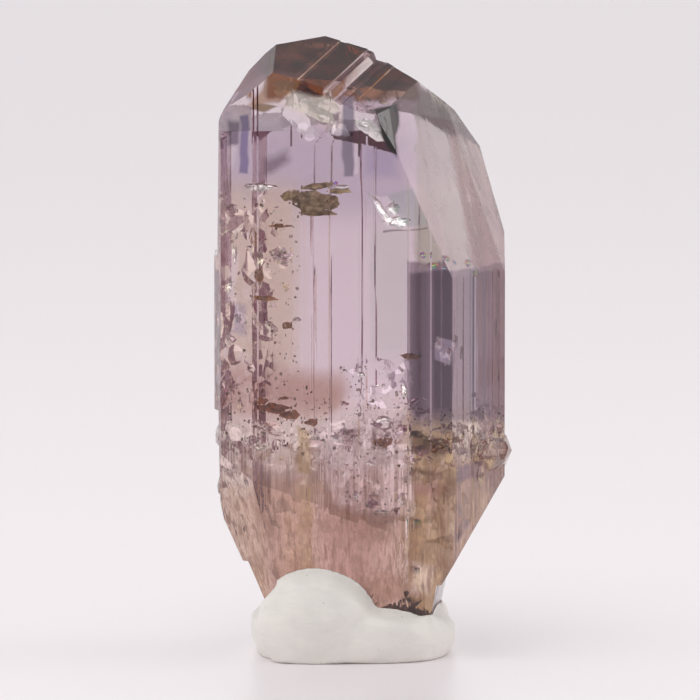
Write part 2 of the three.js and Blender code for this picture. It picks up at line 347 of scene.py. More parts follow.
# Bands of brown across the roof, by the distance in millimetres from the left end of the roof's front edge
ROOF_BANDS = [
    (0.0, (0.18, 0.05, 0.012)),
    (0.72, (0.12, 0.015, 0.001)),
    (0.84, (0.38, 0.17, 0.05)),
    (1.10, (0.30, 0.11, 0.02)),
    (1.16, (0.07, 0.004, 0.0)),
    (2.1, (0.05, 0.003, 0.0)),
    (2.2, (0.70, 0.55, 0.45)),
    (2.3, (0.30, 0.18, 0.14)),
    (2.55, (0.80, 0.70, 0.62)),
    (2.68, (0.08, 0.006, 0.0)),
    (2.9, (0.38, 0.16, 0.06)),
    (2.98, (0.06, 0.004, 0.0)),
    (3.5, (0.22, 0.06, 0.012)),
    (3.9, (0.04, 0.004, 0.0)),
    (4.6, (0.30, 0.16, 0.07)),
]
ROOF_ACROSS = (0.874, -0.269, -0.403)  # direction over the roof, square to its growth lines
ROOF_START = -12.0  # how far along that direction the left end of the roof's front edge lies
ROOF = {"x": (-3.9, 2.5), "y": (None, 0.2), "z": (23.2, None), "soft": 0.3}

# Patches of colour on the front, most of them the crystal's own and some of them painted light (highlights, a
# reflection, light shining through): name, colour, softness of the edge and (x, z) corners
PATCHES = [
    ("pinkish band", (0.66, 0.50, 0.42), 0.9, [(-5.6, 10.9), (-0.9, 10.9), (-1.4, 12.0), (-5.6, 12.3)]),
    (
        "frosted middle",
        (1.0, 0.95, 0.93),
        0.35,
        [(-0.8, 6.5), (2.0, 6.2), (2.0, 11.8), (0.3, 11.8), (-1.9, 9.6), (-1.9, 8.3)],
    ),
    ("golden column", (0.56, 0.44, 0.20), 0.15, [(-2.6, 8.0), (-2.05, 7.8), (-2.05, 9.7), (-2.6, 9.9)]),
    ("pale bulge", (0.80, 0.78, 0.58), 0.4, [(3.9, 8.4), (5.9, 8.4), (6.3, 9.6), (3.9, 10.0)]),
    ("white foot corner", (1.0, 1.0, 0.90), 0.3, [(2.1, 2.9), (2.9, 2.8), (3.0, 4.0), (2.2, 4.2)]),
    ("reddish heel", (0.34, 0.18, 0.14), 0.3, [(2.2, 7.0), (3.5, 7.0), (3.5, 7.5), (2.2, 7.6)]),
    # painted highlight: a near-white strip on the edge at x 2 mm that catches the light
    ("painted highlight rim", (1.0, 1.0, 0.95), 0.1, [(2.02, 6.1), (2.2, 6.1), (2.2, 9.3), (2.02, 9.3)]),
    ("smoky heel", (0.24, 0.19, 0.25), 0.15, [(3.96, 7.56), (5.0, 7.5), (5.0, 8.15), (3.96, 8.23)]),
    ("brown seam", (0.05, 0.03, 0.012), 0.3, [(2.05, 8.9), (3.5, 8.6), (3.8, 9.2), (2.1, 9.7)]),
    ("lower brown seam", (0.10, 0.06, 0.025), 0.2, [(2.1, 7.9), (3.3, 7.8), (3.3, 8.0), (2.1, 8.2)]),
    ("brown foot end", (0.45, 0.28, 0.19), 0.6, [(0.3, 2.4), (2.2, 2.4), (2.1, 3.5), (0.6, 3.8)]),
    # painted highlight: clear, untinted crystal where the left side catches the light
    ("painted highlight side", (1.0, 1.0, 1.0), 0.15, [(-5.5, 15.0), (-5.2, 14.9), (-5.0, 17.0), (-5.3, 17.2)]),
    ("violet side", (0.45, 0.40, 0.47), 0.25, [(-5.3, 13.7), (-4.7, 13.7), (-4.7, 14.9), (-5.3, 14.9)]),
    # painted highlight: a pale bluish tint on a chip that catches the light, with mirror plates behind it
    ("painted bluish highlight chip", (0.85, 0.93, 1.0), 0.1, [(3.05, 12.6), (3.7, 12.4), (3.95, 13.4), (3.1, 13.6)]),
    ("violet strip", (0.13, 0.11, 0.28), 0.1, [(-4.96, 20.3), (-4.6, 20.3), (-4.6, 22.7), (-4.96, 22.7)]),
    ("smoky corner", (0.11, 0.09, 0.14), 0.2, [(-5.5, 21.4), (-5.0, 21.4), (-5.0, 22.5), (-5.5, 22.5)]),
    # painted highlight: clear, untinted crystal where the upper left corner catches the light
    ("painted highlight corner", (1.0, 1.0, 1.0), 0.2, [(-5.9, 19.6), (-5.5, 19.5), (-5.05, 21.5), (-5.9, 21.3)]),
    (
        "purple cloud",
        (0.17, 0.12, 0.16),
        0.35,
        [(-4.0, 20.3), (-3.65, 20.35), (-2.88, 20.9), (-3.0, 21.3), (-4.0, 20.9)],
    ),
    # partly painted light: the tint is paled where light shines through under the roof, and mirror plates
    # behind it add a real reflection of the tent
    (
        "pale facet",
        (0.98, 0.92, 0.84),
        0.2,
        [(-2.3, 22.6), (-1.5, 22.2), (-0.6, 22.2), (0.3, 22.9), (-1.1, 23.3), (-2.3, 24.3), (-3.3, 23.2)],
    ),
    (
        "brown left of the pale facet",
        (0.36, 0.20, 0.11),
        0.2,
        [(-4.4, 22.95), (-3.3, 23.3), (-2.5, 24.3), (-3.5, 24.5), (-4.6, 23.1)],
    ),
    # painted highlight: a near-white streak on the milky face where its edge catches the light
    ("painted highlight streak", (1.0, 1.0, 0.88), 0.15, [(4.5, 18.9), (4.85, 18.9), (4.3, 21.8), (4.0, 21.8)]),
    ("brown facet", (0.13, 0.075, 0.03), 0.1, [(-4.5, 22.9), (-3.9, 22.75), (-3.38, 23.05), (-4.19, 23.2)]),
    ("smoky streak", (0.15, 0.14, 0.19), 0.12, [(-0.72, 20.2), (-0.3, 20.2), (-0.22, 23.4), (-0.75, 23.4)]),
    ("clear streak", (1.0, 1.0, 1.0), 0.06, [(-0.27, 20.3), (-0.08, 20.3), (-0.08, 22.6), (-0.2, 22.6)]),
    # partly painted light: the tint is paled where light shines through under the roof, and a mirror plate
    # behind it adds a real reflection of the tent
    ("pale triangle", (0.90, 0.88, 0.88), 0.08, [(0.15, 21.6), (1.42, 21.3), (0.6, 22.8), (0.15, 22.8)]),
    ("violet corner", (0.46, 0.42, 0.60), 0.5, [(0.2, 20.2), (1.5, 20.2), (1.5, 21.2), (0.2, 21.5)]),
    ("dark nick", (0.0006, 0.0, 0.0), 0.12, [(1.0, 21.4), (1.5, 21.0), (1.6, 23.1), (0.5, 23.0)]),
    ("satin", (0.50, 0.62, 0.58), 0.15, [(1.05, 19.4), (1.96, 18.2), (2.72, 18.2), (2.14, 19.65)]),
    ("lower seam", (0.22, 0.18, 0.17), 0.04, [(0.9, 17.85), (2.75, 18.05), (2.75, 18.12), (0.9, 17.95)]),
    # painted reflection: clear, untinted crystal in the outline of the cleavage's bright reflection, over the
    # real mirror plates there
    ("painted cleavage reflection", (1.0, 1.0, 1.0), 0.06, [(0.42, 19.45), (1.1, 18.05), (2.1, 18.0), (1.1, 19.45)]),
]

# Where the crystal's surface is broken or healed rough, in millimetres
BROKEN = {
    "rough patch": {"x": (-0.7, 2.2), "y": (None, -2.6), "z": (5.9, 12.4), "soft": 0.8},
    "broken left edge": {"x": (None, -2.9), "y": (None, -1.4), "z": (11.0, 19.4), "soft": 1.4},
    "waist": {"z": (7.7, 9.8), "soft": 0.9},
    "pale facet": {"x": (-3.4, 0.4), "y": (None, -1.0), "z": (21.9, 23.6), "soft": 0.8},
    "heel": {"x": (0.9, 3.0), "y": (None, -1.0), "z": (2.4, 4.6), "soft": 0.9},
    "middle of the foot": {"x": (-4.4, 4.8), "y": (None, -0.6), "z": (2.2, 8.2), "soft": 1.4},
    "left flank of the foot": {"x": (None, -4.6), "z": (None, 7.8), "soft": 0.7},
}
BROKEN_ROUGHNESS = 0.17


def banded(r, value, bands):
    """Colours at set values, blended between one and the next."""
    first, last = bands[0][0], bands[-1][0]
    share = r.put("MapRange", {"Value": value, "From Min": first, "From Max": last})
    ramp = r.tree.nodes.new("ShaderNodeValToRGB")
    r.tree.links.new(share, ramp.inputs["Fac"])
    while len(ramp.color_ramp.elements) < len(bands):
        ramp.color_ramp.elements.new(0.5)
    for stop, (at, tone) in zip(ramp.color_ramp.elements, bands):
        stop.position = (at - first) / (last - first)
        stop.color = (*tone, 1)
    return ramp.outputs["Color"]


def zoned_colour(r, axes):
    """The clear body's tint with its stains, and the bands across the foot, the prism and the roof."""
    straight = r.put("SeparateXYZ", {0: r.place}, output="X")
    wavering = r.plus(straight, r.times(r.plus(axes["x"], r.times(straight, -1.0)), 0.4))
    foot = r.times(r.ramp(axes["z"], *FOOT_TOP, 1.0, 0.0), r.ramp(axes["z"], *FOOT_END))
    colour = r.mix(foot, (*CLEAR_TINT, 1), banded(r, wavering, FOOT_BANDS))
    for stain in STAINS:
        colour = r.mix(r.zone(axes, stain), colour, (*stain["colour"], 1))
    height = r.times(r.ramp(axes["z"], *PRISM_FOOT), r.ramp(axes["z"], *PRISM_TOP, 1.0, 0.0))
    prism = r.times(r.ramp(straight, *PRISM_EDGE), height)
    colour = r.mix(prism, colour, banded(r, straight, PRISM_BANDS))
    across = r.put("VectorMath", {0: r.place, 1: ROOF_ACROSS}, output="Value", operation="DOT_PRODUCT")
    return r.mix(r.zone(axes, ROOF), colour, banded(r, r.plus(across, -ROOF_START), ROOF_BANDS))


def crystal_colour(r):
    """The zoned colour with the patches on the front, and a mottle and streaks over the lower end."""
    axes = r.wobbly_axes(0.2)
    colour = zoned_colour(r, axes)
    near_front = r.ramp(axes["y"], *FRONT_END, 1.0, 0.0)
    for _, tone, soft, corners in PATCHES:
        colour = r.mix(r.times(r.shape(axes, corners, soft), near_front), colour, (*tone, 1))
    low = r.ramp(axes["z"], *MOTTLE_TOP, 1.0, 0.0)
    mottle = r.ramp(r.cloud((1.0, 1.0, 1.8), detail=3, roughness=0.7), 0.42, 0.68, 0.0, 0.75)
    streaks = r.ramp(r.cloud((0.2, 0.2, 5.0), detail=2, roughness=0.7), 0.42, 0.66, 0.0, 0.85)
    shade = r.times(r.maths("MAXIMUM", mottle, streaks), low)
    return r.mix(shade, colour, (*MOTTLE_COLOUR, 1))


def crystal_relief(r, axes, broken):
    """Fine striations, a slight wave, and chips of two sizes where the crystal is broken."""
    striations = r.cloud((0.13, 0.13, 14.0), detail=1, roughness=0.6)
    normal = r.bump(striations, 0.03, strength=r.ramp(axes["z"], *SMOOTH_FOOT_TOP, 1.0, 0.16))
    normal = r.bump(r.cloud((1.7, 1.7, 3.0), detail=0), 0.05, normal)
    normal = r.bump(r.facets((1.0, 1.0, 1.2)), 0.4, normal, broken)
    return r.bump(r.facets((0.36, 0.36, 0.42), shift=(7, 3, 5)), 0.1, normal, broken)


def crystal_material(settings):
    r = Recipe("Clear tanzanite")
    axes = r.wobbly_axes(0.8, (1.2, 1.2, 1.2))
    broken = 0.0
    for patch in BROKEN.values():
        broken = r.maths("MAXIMUM", broken, r.zone(axes, patch))
    grain = r.cloud((1.1, 1.1, 1.1), detail=2, roughness=0.6)
    broken = r.times(broken, r.ramp(grain, 0.40, 0.56))
    milky = r.times(r.ramp(axes["x"], *MILKY_EDGE), r.ramp(axes["z"], *MILKY_FOOT))
    milk = r.times(milky, r.ramp(r.cloud((0.5, 0.5, 2.2), detail=1), 0.3, 0.7, 0.08, 0.32))
    inputs = {
        "Base Color": crystal_colour(r),
        "Roughness": r.plus(settings.polish, r.plus(r.times(broken, BROKEN_ROUGHNESS), milk)),
        "IOR": settings.ior,
        "Transmission Weight": 1.0,
        "Normal": crystal_relief(r, axes, broken),
    }
    surface = r.put("BsdfPrincipled", inputs, distribution="GGX")
    volume = r.put("VolumeAbsorption", {"Color": (*settings.body_colour, 1), "Density": settings.body_depth})
    return r.finish(surface, volume)


def grain_material(name, colour, roughness, spread=0.3, metallic=0.0):
    """Opaque grains held inside the crystal, some lighter and some darker."""
    r = Recipe(name)
    dark = tuple(c * (1 - spread) for c in colour)
    tone = r.mix(r.ramp(r.cloud((0.25, 0.25, 0.25)), 0.4, 0.6), (*dark, 1), (*colour, 1))
    normal = r.bump(r.facets((0.16, 0.16, 0.16)), 0.12)
    inputs = {"Base Color": tone, "Roughness": roughness, "Metallic": metallic, "Normal": normal}
    return r.finish(r.put("BsdfPrincipled", inputs))


def fracture_material():
    """The olive-brown film that mirrors the light in the large closed crack, with a lighter gold at its right
    end that is partly a painted highlight.
    """
    r = Recipe("Olive film")
    axes = r.wobbly_axes(0.2, (0.5, 0.5, 0.5))
    patches = r.ramp(r.cloud((0.35, 0.35, 0.2), detail=3), 0.35, 0.65)
    film = r.mix(patches, (0.34, 0.23, 0.10, 1), (0.90, 0.70, 0.40, 1))
    # partly painted highlight: lighter gold colour at the right end, where that plate also mirrors the top
    # lamp
    colour = r.mix(r.ramp(axes["x"], -1.1, -0.6), film, (1.0, 0.80, 0.40, 1))
    normal = r.bump(r.facets((0.35, 0.35, 0.35)), 0.3)
    inputs = {"Base Color": colour, "Roughness": 0.3, "Metallic": 0.35, "Normal": normal}
    return r.finish(r.put("BsdfPrincipled", inputs))


def glint_material():
    """The silvery mirror of small clean cleavages, broken into facets."""
    r = Recipe("Silvery cleavage")
    normal = r.bump(r.facets((0.3, 0.3, 0.3)), 0.03)
    inputs = {"Base Color": (1.0, 0.98, 0.96, 1), "Roughness": 0.2, "Metallic": 1.0, "Normal": normal}
    return r.finish(r.put("BsdfPrincipled", inputs))


def rainbow_material():
    """The colours of a crack as thin as a soap film, run through a few times as it thickens."""
    r = Recipe("Rainbow crack")
    thickness = r.times(r.cloud((0.3, 0.3, 0.3), detail=1), 4.0)
    film = r.put("CombineColor", {0: r.maths("FRACT", thickness), 1: 0.6, 2: 1.0}, mode="HSV")
    return r.finish(r.put("BsdfPrincipled", {"Base Color": film, "Roughness": 0.25, "Metallic": 1.0}))


def putty_material(settings):
    """Off-white putty, slightly mottled, with a few dark specks, fine pores and smears."""
    r = Recipe("Mounting putty")
    mottle = r.cloud((1.2, 1.2, 1.2), detail=3)
    shaded = [0.93 * c for c in settings.colour]
    colour = r.mix(r.ramp(mottle, 0.3, 0.7), (*shaded, 1), (*settings.colour, 1))
    dots = r.ramp(r.specks((0.6, 0.6, 0.6)), 0.04, 0.075, 1.0, 0.0)
    colour = r.mix(r.times(dots, 0.5), colour, (0.35, 0.31, 0.28, 1))
    pores = r.cloud((0.12, 0.12, 0.12), detail=4, roughness=0.6)
    smears = r.cloud((0.9, 0.5, 0.35), detail=2)
    inputs = {
        "Base Color": colour,
        "Roughness": r.ramp(mottle, 0.2, 0.8, 0.5, 0.68),
        "Normal": r.bump(smears, 0.05, r.bump(pores, 0.012)),
    }
    return r.finish(r.put("BsdfPrincipled", inputs))


def floor_material(settings):
    """A pale, softly shining table top."""
    r = Recipe("Pale table top")
    inputs = {
        "Base Color": (*settings.floor_colour, 1),
        "Roughness": r.ramp(r.cloud((0.3, 0.3, 0.3), detail=2), 0.2, 0.8, 0.28, 0.36),
        "Specular IOR Level": 0.3,
    }
    return r.finish(r.put("BsdfPrincipled", inputs))


# Small tools for meshes


SAME_POINT = 1e-3 * MM  # points nearer than this are one


def merged_copy(node):
    """A copy of a CAD node's mesh with its doubled points merged."""
    bm = bmesh.new()
    bm.from_mesh(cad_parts[node].data)
    bmesh.ops.remove_doubles(bm, verts=bm.verts, dist=SAME_POINT)
    bmesh.ops.dissolve_degenerate(bm, edges=bm.edges, dist=SAME_POINT)
    return bm


def new_piece(name, bm, material):
    """Makes the built mesh an object of its own with one material, and frees the builder."""
    mesh = bpy.data.meshes.new(name)
    bm.to_mesh(mesh)
    bm.free()
    mesh.materials.clear()
    mesh.materials.append(material)
    piece = bpy.data.objects.new(name, mesh)
    bpy.context.scene.collection.objects.link(piece)
    return piece


class Inside:
    """Tells whether points lie well inside the crystal."""

    def __init__(self):
        bm = merged_copy(CRYSTAL_NODE)
        bm.normal_update()
        self.tree = BVHTree.FromBMesh(bm)
        bm.free()

    def depth(self, point):
        """How far inside the crystal a point in metres lies; negative outside."""
        near, normal, _, distance = self.tree.find_nearest(point)
        return distance if (point - near).dot(normal) < 0 else -distance


LOOK_AT = Vector((-0.417 * MM, 0, 12.65 * MM))  # where the camera aims
TOP_LAMP = Vector((-0.04, -0.10, 0.20))  # metres


def camera_place(settings):
    """Where the camera stands, and the direction from the crystal to it."""
    back = Vector((0, -math.cos(settings.elevation), math.sin(settings.elevation)))
    return LOOK_AT + back * settings.distance, back


def bent_into(direction, normal, ior):
    """The direction a ray takes inside the crystal after it enters through a face with this normal."""
    facing = -normal.dot(direction)
    return direction / ior + normal * (facing / ior - math.sqrt(1 - (1 - facing**2) / ior**2))


def aimed_at_lamp(centre, inside, context):
    """Turn and lean, in degrees, of a mirror inside the crystal that shows the camera the top lamp."""
    target = Vector(centre) * MM
    ior = context.scene.crystal_settings.ior
    sight = Vector()
    for start in (camera_place(context.scene.studio_settings)[0], TOP_LAMP):
        direction = (target - start).normalized()
        _, normal, _, _ = inside.tree.ray_cast(start, direction)
        sight -= bent_into(direction, normal, ior)
    turn = math.degrees(math.atan2(sight.x, -sight.y))
    return {"turn": turn, "lean": math.degrees(math.acos(sight.z / sight.length))}


# Open cracks inside the crystal are thin gaps that mirror the light. Places and half widths are millimetres.
# Turn and lean, in degrees, aim the crack's face, with lean 0 facing straight up and turn 0 leaning it to the
# front, and spin turns its outline in its plane. A field says how many lie in the box between two corners.
CRACK_FIELDS = {
    "left side": {
        "low": (-5.6, -3.4, 11.0), "high": (-2.4, -1.2, 19.8), "count": 18, "size": (0.25, 0.8), "seed": 11,
    },
    "waist": {
        "low": (-5.4, -3.3, 8.2), "high": (5.2, 2.6, 10.8), "count": 18, "size": (0.2, 0.6), "seed": 12,
    },
    "rough patch": {
        "low": (-0.8, -3.4, 5.8), "high": (2.3, -1.6, 12.6), "count": 8, "size": (0.2, 0.5), "seed": 13,
    },
}
CRACK_THICKNESS = 0.03
CRACK_COVER = 0.06  # least thickness of crystal over an open crack
CRACK_NARROWNESS = (0.4, 0.9)  # half height over half width
CRACK_TURN = (-75, 75)
CRACK_LEAN = (12, 80)
SWELL = 0.14  # height of the swells in a crack's face
SHORTEST_REACH = 0.55  # least share of its half width that the ragged outline reaches
SECTORS, RINGS = 13, 3


def lens_faces():
    """Faces of a thin lens: each side is rings around a middle point, and both sides share the rim."""
    rim = 1 + (RINGS - 1) * SECTORS
    lower = rim + SECTORS
    faces = []
    for top in (True, False):
        base = 0 if top else lower
        for ring in range(RINGS):
            inner = base + 1 + (ring - 1) * SECTORS
            outer = rim if ring == RINGS - 1 else base + 1 + ring * SECTORS
            for k in range(SECTORS):
                n = (k + 1) % SECTORS
                face = (base, outer + k, outer + n)
                if ring > 0:
                    face = (inner + k, outer + k, outer + n, inner + n)
                faces.append(face if top else face[::-1])
    return faces


def thin_lens(centre, size, turn, lean, seed, spin=0, thickness=CRACK_THICKNESS, swell=SWELL):
    """Corners and outward faces of a closed, thin, wavy lens with a ragged outline, in metres."""
    random = np.random.default_rng(seed)
    ragged = SHORTEST_REACH + (1 - SHORTEST_REACH) * random.random(SECTORS)
    wave = Vector(random.random(3) * 10)
    place = Matrix.Translation(Vector(centre) * MM)
    for angle, axis in ((turn, "Z"), (lean, "X"), (spin, "Z")):
        place = place @ Matrix.Rotation(math.radians(angle), 4, axis)
    points = []
    for side in (1, -1):
        last_ring = RINGS if side == 1 else RINGS - 1
        for ring in range(last_ring + 1):
            reach = ring / RINGS
            half = thickness / 2 * (1 - reach**2) * side
            for k in range(SECTORS if ring > 0 else 1):
                angle = FULL_TURN * k / SECTORS
                x = size[0] * ragged[k] * reach * math.cos(angle)
                y = size[1] * ragged[k] * reach * math.sin(angle)
                height = half + swell * noise.noise(Vector((x * 1.6, y * 1.6, 0)) + wave)
                points.append(place @ (Vector((x, y, height)) * MM))
    return points, lens_faces()


def crack_list():
    """Every crack strewn through the fields."""
    for field in CRACK_FIELDS.values():
        random = np.random.default_rng(field["seed"])
        for k in range(field["count"]):
            small, large = field["size"]
            across = small + (large - small) * random.random() ** 2
            yield {
                "centre": random.uniform(field["low"], field["high"]),
                "size": (across, across * random.uniform(*CRACK_NARROWNESS)),
                "turn": random.uniform(*CRACK_TURN),
                "lean": random.uniform(*CRACK_LEAN),
                "seed": field["seed"] * 100 + k,
            }


def open_cracks(bm, inside):
    """Adds to the crystal's mesh each crack that lies wholly inside it and clear of the others."""
    made = []
    for crack in crack_list():
        points, faces = thin_lens(**crack)
        if min(inside.depth(p) for p in points) < CRACK_COVER * MM:
            continue
        tree = BVHTree.FromPolygons(points, faces)
        if any(tree.overlap(other) for other in made):
            continue
        made.append(tree)
        corners = [bm.verts.new(p) for p in points]
        for face in faces:
            bm.faces.new([corners[k] for k in face[::-1]])  # a hollow's faces point into the hollow
    return len(made)


# Plates of stain held in closed cracks, placed as the open cracks are
STAINED_PLATES = {
    "olive_fracture": [
        {"centre": (-1.95, -2.95, 19.15), "size": (0.95, 0.62), "turn": -4, "lean": 60, "seed": 34},
        {"centre": (-0.85, -3.2, 19.6), "size": (0.6, 0.17), "turn": -3, "lean": 72, "seed": 35},
        {"centre": (-1.7, -2.6, 19.75), "size": (0.9, 0.2), "turn": 8, "lean": 64, "seed": 33, "spin": 8},
        {"centre": (-2.8, -3.05, 19.4), "size": (0.5, 0.3), "turn": -24, "lean": 66, "seed": 32, "spin": 20},
        {"centre": (-1.7, -2.5, 18.62), "size": (1.0, 0.2), "turn": -12, "lean": 68, "seed": 38},
        {"centre": (-1.2, -2.6, 19.1), "size": (0.5, 0.42), "turn": 14, "lean": 56, "seed": 39, "spin": 30},
    ],
    "rust_stains": [
        {"centre": (-3.5, -3.1, 10.6), "size": (0.75, 0.3), "turn": 4, "lean": 68, "seed": 51},
        {"centre": (-4.0, -3.2, 10.9), "size": (0.3, 0.16), "turn": 4, "lean": 68, "seed": 52},
        {"centre": (-3.1, -3.2, 11.0), "size": (0.24, 0.1), "turn": 4, "lean": 68, "seed": 53},
        {"centre": (-2.9, -3.0, 10.3), "size": (0.5, 0.26), "turn": -8, "lean": 70, "seed": 42},
        {"centre": (2.1, -3.0, 12.75), "size": (0.6, 0.16), "turn": 3, "lean": 75, "seed": 43},
        {"centre": (-3.9, -3.2, 15.15), "size": (0.7, 0.13), "turn": -5, "lean": 70, "seed": 44},
        {"centre": (-4.1, -3.2, 16.1), "size": (0.2, 0.36), "turn": 10, "lean": 84, "seed": 45},
        {"centre": (-3.3, -3.2, 18.15), "size": (0.55, 0.1), "turn": 3, "lean": 72, "seed": 46},
        {"centre": (-4.3, -3.2, 17.6), "size": (0.14, 0.45), "turn": 20, "lean": 84, "seed": 47},
        {"centre": (-3.0, -3.1, 14.0), "size": (0.25, 0.2), "turn": 0, "lean": 80, "seed": 48},
        {"centre": (-2.0, -3.0, 10.0), "size": (0.35, 0.2), "turn": 10, "lean": 66, "seed": 49},
        {"centre": (0.9, -2.6, 9.1), "size": (0.5, 0.25), "turn": 0, "lean": 60, "seed": 50},
        {"centre": (3.3, -2.2, 9.2), "size": (0.7, 0.2), "turn": 20, "lean": 60, "seed": 51},
    ],
}
PLATE_THICKNESS = 0.05
PLATE_COVER = 0.03  # least thickness of crystal over a plate

# Tiny cracks thin enough to show rainbow colours, aimed so that they mirror the top lamp
RAINBOWS = [
    {"centre": (2.6, -2.6, 16.9), "size": (0.16, 0.16), "seed": 61},
    {"centre": (3.0, -2.3, 16.45), "size": (0.3, 0.16), "seed": 62},
    {"centre": (3.4, -2.1, 16.3), "size": (0.16, 0.1), "seed": 89},
    {"centre": (4.1, -1.6, 16.3), "size": (0.24, 0.22), "seed": 63},
    {"centre": (4.45, -1.5, 16.0), "size": (0.14, 0.2), "seed": 76},
    {"centre": (-1.0, -3.3, 19.9), "size": (0.12, 0.1), "seed": 90},
    {"centre": (2.4, -2.0, 5.8), "size": (0.16, 0.12), "seed": 91},
]

# Small clean cleavages, aimed in the same way. Those with a turn and a lean of their own are the pale facets
# under the roof, which face the camera and mirror the white tent.
GLINTS = [
    {"centre": (0.85, -3.15, 18.8), "size": (1.0, 0.22), "seed": 36, "spin": -56},
    {"centre": (1.5, -3.05, 18.3), "size": (0.7, 0.3), "seed": 37, "spin": 4},
    {"centre": (1.35, -2.8, 18.85), "size": (0.4, 0.4), "seed": 92, "spin": -50},
    {"centre": (3.25, -2.2, 13.2), "size": (0.26, 0.4), "seed": 38},
    {"centre": (3.65, -2.0, 12.8), "size": (0.2, 0.36), "seed": 39},
    {"centre": (-4.1, -3.35, 16.8), "size": (0.14, 0.45), "seed": 64},
    {"centre": (-3.8, -3.35, 16.5), "size": (0.1, 0.14), "seed": 65},
    {"centre": (-4.1, -3.2, 19.75), "size": (0.8, 0.2), "seed": 66},
    {"centre": (-5.0, -2.6, 17.0), "size": (0.16, 0.5), "seed": 77},
    {"centre": (-5.2, -2.4, 15.6), "size": (0.14, 0.4), "seed": 78},
    {"centre": (-4.9, -2.8, 14.3), "size": (0.2, 0.3), "seed": 79},
    {"centre": (-4.8, -2.8, 10.7), "size": (0.14, 0.4), "seed": 80},
    {"centre": (0.05, -3.3, 12.0), "size": (0.2, 0.16), "seed": 67},
    {"centre": (1.8, -3.15, 11.3), "size": (0.2, 0.4), "seed": 68},
    {"centre": (1.7, -2.7, 6.8), "size": (0.12, 0.4), "seed": 69},
    {"centre": (0.9, -2.6, 6.2), "size": (0.6, 0.12), "seed": 70},
    {"centre": (-0.8, -3.3, 19.75), "size": (0.5, 0.12), "seed": 71},
    {"centre": (-4.1, -3.1, 9.0), "size": (0.4, 0.14), "seed": 72},
    {"centre": (0.4, -3.2, 8.3), "size": (0.3, 0.14), "seed": 73},
    {"centre": (-1.1, -3.2, 9.4), "size": (0.3, 0.14), "seed": 74},
    {"centre": (1.0, -3.2, 10.1), "size": (0.4, 0.18), "seed": 75},
    {"centre": (4.6, -1.2, 8.6), "size": (0.4, 0.12), "seed": 81},
    {"centre": (3.6, -1.9, 9.6), "size": (0.5, 0.12), "seed": 82},
    {"centre": (2.3, -2.0, 5.6), "size": (0.16, 0.16), "seed": 83},
    {"centre": (2.4, -1.8, 3.9), "size": (0.2, 0.3), "seed": 86},
    {"centre": (-4.4, -2.6, 7.6), "size": (0.14, 0.3), "seed": 87},
    {"centre": (-0.2, -2.8, 6.9), "size": (0.16, 0.24), "seed": 88},
    {"centre": (5.4, -0.4, 13.6), "size": (0.14, 0.5), "seed": 84},
    {"centre": (0.9, -2.2, 22.9), "size": (0.3, 0.2), "seed": 85},
    {"centre": (-2.15, -3.42, 23.35), "size": (1.75, 0.72), "seed": 94, "turn": 0, "lean": 88, "spin": -30},
    {"centre": (-2.75, -3.36, 23.7), "size": (0.85, 0.5), "seed": 96, "turn": 0, "lean": 88, "spin": -10},
    {"centre": (-1.6, -3.3, 23.3), "size": (0.8, 0.4), "seed": 97, "turn": 0, "lean": 88, "spin": -20},
    {"centre": (0.5, -3.45, 22.1), "size": (1.0, 0.42), "seed": 95, "turn": 0, "lean": 88, "spin": -36},
]
GLINT_SWELL = 0.04

# Grains strewn through boxes inside the crystal, between the two depths under its surface, in millimetres
TRIES_PER_GRAIN = 40
GRAINS = {
    "white_grains": [
        {"low": (-5.8, -3.7, 10.6), "high": (-2.5, -1.6, 19.4), "depth": (0.04, 0.3), "count": 160},
        {"low": (-5.9, -3.7, 8.0), "high": (6.0, 3.4, 10.4), "depth": (0.04, 0.25), "count": 300},
        {"low": (-0.8, -3.7, 5.9), "high": (2.3, -2.2, 12.4), "depth": (0.04, 0.25), "count": 160},
    ],
    "brown_grains": [
        {"low": (-5.6, -3.6, 9.0), "high": (-1.2, -2.0, 11.6), "depth": (0.1, 0.8), "count": 90},
        {"low": (1.8, -3.2, 8.0), "high": (5.8, 0.5, 10.4), "depth": (0.1, 0.8), "count": 120},
        {"low": (-4.8, -3.6, 10.5), "high": (-2.4, -2.6, 19.2), "depth": (0.1, 0.6), "count": 50},
        {"low": (-0.8, -3.7, 5.9), "high": (2.3, -2.6, 12.4), "depth": (0.1, 0.6), "count": 40},
    ],
}


def plate_piece(name, plates, material, inside, swell):
    """One piece made of all the plates of a kind, but for those that would reach out of the crystal."""
    bm = bmesh.new()
    for plate in plates:
        points, faces = thin_lens(**plate, thickness=PLATE_THICKNESS, swell=swell)
        if min(inside.depth(p) for p in points) < PLATE_COVER * MM:
            print(f"{name}: the plate at {plate['centre']} reaches out of the crystal and is left out")
            continue
        corners = [bm.verts.new(p) for p in points]
        for face in faces:
            bm.faces.new([corners[k] for k in face])
    return new_piece(name, bm, material)


def strewn_points(fields, inside, seed):
    """Random points of the fields that lie between their depths under the crystal's surface."""
    random = np.random.default_rng(seed)
    points = []
    for field in fields:
        low, high = field["depth"]
        wanted = len(points) + field["count"]
        for _ in range(TRIES_PER_GRAIN * field["count"]):
            point = Vector(random.uniform(field["low"], field["high"])) * MM
            if low * MM < inside.depth(point) < high * MM:
                points.append(point)
            if len(points) >= wanted:
                break
    return points


